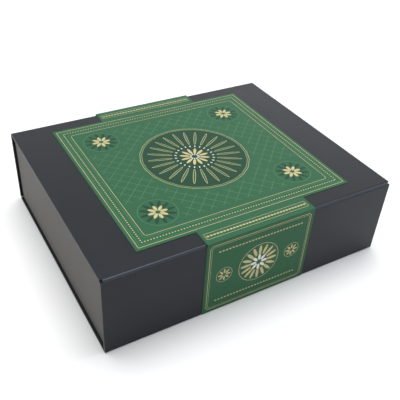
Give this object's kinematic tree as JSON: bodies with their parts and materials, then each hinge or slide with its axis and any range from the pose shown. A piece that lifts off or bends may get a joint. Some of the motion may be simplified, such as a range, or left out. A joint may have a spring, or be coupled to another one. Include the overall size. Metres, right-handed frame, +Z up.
{
  "type": "acrylic paint set",
  "caption": "Acrylic paint set in a flat rigid box with a magnetic front flap and a printed card band, holding tubes, brushes, a palette, a knife and canvases",
  "frame": {"origin": "under the middle of the closed box, on the surface it stands on", "axes": "+X right along the front, +Y from the front flap to the spine, +Z up"},
  "size_m": [0.36, 0.2906, 0.1007],
  "materials": {
    "greyboard": "raw grey board",
    "cover_paper": "matte anthracite cover paper",
    "lining_paper": "matte anthracite lining paper",
    "tray_paper": "matte warm grey paper",
    "printed_card": "green printed card",
    "magnet": "nickel plated disc",
    "catch_steel": "plain steel disc",
    "pine": "planed pine",
    "canvas": "primed cotton canvas",
    "pad_board": "grey-brown board",
    "pad_paper": "heavy textured paper",
    "formed_sheet": "satin black formed sheet",
    "cap": "moulded black cap",
    "handle_wood": "lacquered wood",
    "ferrule": "polished sleeve",
    "bristle": "brown synthetic hair",
    "blade_steel": "ground steel",
    "palette_plastic": "white moulded plastic",
    "tube_1": "laminate tube with a coloured band",
    "tube_2": "laminate tube with a coloured band",
    "tube_3": "laminate tube with a coloured band",
    "tube_4": "laminate tube with a coloured band",
    "tube_5": "laminate tube with a coloured band",
    "tube_6": "laminate tube with a coloured band"
  },
  "bodies": {
    "box": {"base_board": "greyboard", "base_cover": "cover_paper", "spine_board": "greyboard", "spine_cover": "cover_paper", "lid_hinge": "cover_paper", "base_hinge": "cover_paper", "tray_board": "greyboard", "tray_wrap": "tray_paper", "catch_plates": "catch_steel", "base_band": "printed_card", "spine_band": "printed_card", "canvas_1_bars": "pine", "canvas_1_cloth": "canvas", "canvas_2_bars": "pine", "canvas_2_cloth": "canvas", "pad_back": "pad_board", "pad_sheets": "pad_paper", "insert": "formed_sheet", "tube_1": "tube_1", "tube_2": "tube_2", "tube_3": "tube_3", "tube_4": "tube_4", "tube_5": "tube_5", "tube_6": "tube_6", "brush_1_handle": "handle_wood", "brush_1_ferrule": "ferrule", "brush_1_bristles": "bristle", "brush_2_handle": "handle_wood", "brush_2_ferrule": "ferrule", "brush_2_bristles": "bristle", "brush_3_handle": "handle_wood", "brush_3_ferrule": "ferrule", "brush_3_bristles": "bristle", "knife_handle": "handle_wood", "knife_blade": "blade_steel", "palette": "palette_plastic"},
    "lid": {"lid_board": "greyboard", "lid_cover": "cover_paper", "lid_liner": "lining_paper", "lid_band": "printed_card", "flap_hinge": "cover_paper"},
    "flap": {"flap_board": "greyboard", "flap_cover": "cover_paper", "flap_liner": "lining_paper", "flap_band": "printed_card", "flap_magnets": "magnet"},
    "cap_1": {"cap_1": "cap"},
    "cap_2": {"cap_2": "cap"},
    "cap_3": {"cap_3": "cap"},
    "cap_4": {"cap_4": "cap"},
    "cap_5": {"cap_5": "cap"},
    "cap_6": {"cap_6": "cap"}
  },
  "joints": [
    {"name": "lid_turn", "type": "hinge", "parent": "box", "child": "lid", "pos_m": [0, 0.145, 0.10035], "axis": [-1, 0, 0], "range_deg": [0, 180], "deforming": ["lid_hinge"]},
    {"name": "flap_turn", "type": "hinge", "parent": "lid", "child": "flap", "pos_m": [0, -0.145, 0.10035], "axis": [-1, 0, 0], "range_deg": [0, 180], "deforming": ["flap_hinge"]},
    {"name": "cap_1_turn", "type": "hinge", "parent": "box", "child": "cap_1", "pos_m": [-0.14, -0.0034, 0.06665], "axis": [0, -1, 0], "range_deg": [0, 720]},
    {"name": "cap_2_turn", "type": "hinge", "parent": "box", "child": "cap_2", "pos_m": [-0.084, -0.0034, 0.06665], "axis": [0, -1, 0], "range_deg": [0, 720]},
    {"name": "cap_3_turn", "type": "hinge", "parent": "box", "child": "cap_3", "pos_m": [-0.028, -0.0034, 0.06665], "axis": [0, -1, 0], "range_deg": [0, 720]},
    {"name": "cap_4_turn", "type": "hinge", "parent": "box", "child": "cap_4", "pos_m": [0.028, -0.0034, 0.06665], "axis": [0, -1, 0], "range_deg": [0, 720]},
    {"name": "cap_5_turn", "type": "hinge", "parent": "box", "child": "cap_5", "pos_m": [0.084, -0.0034, 0.06665], "axis": [0, -1, 0], "range_deg": [0, 720]},
    {"name": "cap_6_turn", "type": "hinge", "parent": "box", "child": "cap_6", "pos_m": [0.14, -0.0034, 0.06665], "axis": [0, -1, 0], "range_deg": [0, 720]}
  ]
}
